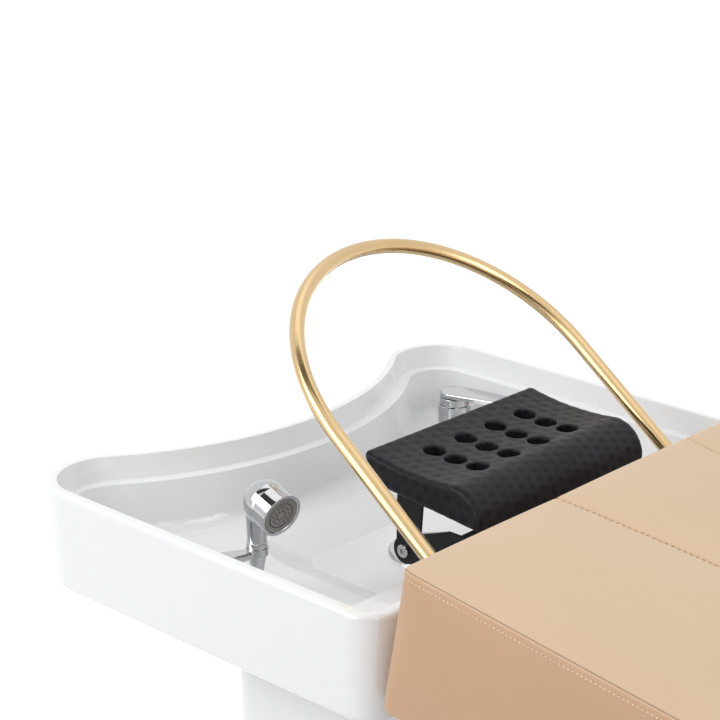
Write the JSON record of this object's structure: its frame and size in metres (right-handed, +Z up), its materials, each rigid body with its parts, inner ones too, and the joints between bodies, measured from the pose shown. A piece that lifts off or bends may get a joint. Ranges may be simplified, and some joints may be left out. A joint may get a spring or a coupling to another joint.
{
  "type": "hair washing bed",
  "caption": "Head spa bed: wide white basin on a pedestal, gold water arch, tilting neck rest, hand shower, lever mixer and a padded leather mattress on a steel frame.",
  "frame": {"origin": "on the floor under the middle of the bed's length and width", "axes": "+X along the bed from the basin to the foot end, +Z up, near side at -Y"},
  "size_m": [2.1117, 0.7694, 0.8966],
  "materials": {
    "basin_white": "glossy white glaze",
    "pedestal_white": "smooth white powder coat",
    "arch_gold": "satin gold, brushed along the tube",
    "chrome": "polished",
    "steel": "brushed",
    "brass": "machined brass",
    "frame_black": "fine black powder coat",
    "neck_rubber": "moulded soft polyurethane with small dimples",
    "seal_rubber": "matte",
    "mattress_leather": "fine-grained beige artificial leather",
    "deck_wood": "plywood board",
    "spray_grey": "smoked grey face",
    "dot_red": "gloss red",
    "drain_plastic": "moulded white plastic"
  },
  "bodies": {
    "bed": {"arch_bearing_far": "arch_gold", "arch_bearing_near": "arch_gold", "arch_feed_pipe": "brass", "arch_pins": "arch_gold", "base_plate": "frame_black", "basin_seal": "seal_rubber", "basin_shell": "basin_white", "cold_pipe": "brass", "cross_rail_foot": "frame_black", "cross_rail_head": "frame_black", "cross_rail_middle": "frame_black", "cross_tray": "frame_black", "deck_board": "deck_wood", "deck_bolts": "steel", "deck_screws": "steel", "diverter_valve": "brass", "door_hinges": "steel", "drain_flange": "chrome", "drain_nut": "drain_plastic", "drain_trap": "drain_plastic", "frame_bolts": "steel", "gland_nut": "brass", "handset_holder": "chrome", "headrest_arm_far": "frame_black", "headrest_arm_near": "frame_black", "hose_gland": "chrome", "hot_pipe": "brass", "inlet_nipples": "brass", "inlet_nuts": "brass", "leg_brace": "frame_black", "leg_far": "frame_black", "leg_near": "frame_black", "levelling_feet": "steel", "mattress": "mattress_leather", "mixed_pipe": "brass", "mixer_body": "chrome", "mixer_nut": "brass", "neck_rest_bolts": "chrome", "pedestal_shell": "pedestal_white", "shower_hose": "steel", "side_rail_far": "frame_black", "side_rail_near": "frame_black", "trap_cup": "drain_plastic"},
    "arch": {"arch_tube": "arch_gold", "arch_hub_near": "arch_gold", "arch_hub_far": "arch_gold"},
    "neck_rest": {"neck_rest_pad": "neck_rubber", "neck_rest_plate": "frame_black", "pad_screws": "steel"},
    "handset": {"handset_body": "chrome", "handset_bezel": "chrome", "spray_face": "spray_grey", "handset_collar": "chrome", "hose_nut": "chrome"},
    "mixer_cap": {"mixer_cap": "chrome", "mixer_dot": "dot_red"},
    "mixer_lever": {"mixer_lever": "chrome"},
    "strainer": {"drain_strainer": "chrome"},
    "door": {"pedestal_door": "pedestal_white", "door_knob": "chrome"}
  },
  "joints": [
    {"name": "arch_tilt", "type": "hinge", "parent": "bed", "child": "arch", "pos_m": [-0.517, 0, 0.6327], "axis": [0, 1, 0], "range_deg": [-15, 50]},
    {"name": "neck_rest_tilt", "type": "hinge", "parent": "bed", "child": "neck_rest", "pos_m": [-0.636, 0, 0.5955], "axis": [0, 1, 0], "range_deg": [-20, 5]},
    {"name": "handset_lift", "type": "slide", "parent": "bed", "child": "handset", "axis": [0, 0, 1], "range_m": [0, 0.12], "deforming": ["shower_hose"]},
    {"name": "mixer_swivel", "type": "hinge", "parent": "bed", "child": "mixer_cap", "pos_m": [-0.935, 0.289, 0.588], "axis": [0, 0, 1], "range_deg": [-70, 5]},
    {"name": "lever_lift", "type": "hinge", "parent": "mixer_cap", "child": "mixer_lever", "pos_m": [-0.94962, 0.28563, 0.5933], "axis": [0.225, -0.9744, 0], "range_deg": [0, 15]},
    {"name": "strainer_lift", "type": "slide", "parent": "bed", "child": "strainer", "axis": [0, 0, 1], "range_m": [0, 0.05]},
    {"name": "door_swing", "type": "hinge", "parent": "bed", "child": "door", "pos_m": [-0.801, 0.151, 0.265], "axis": [0, 0, -1], "range_deg": [0, 100]}
  ]
}
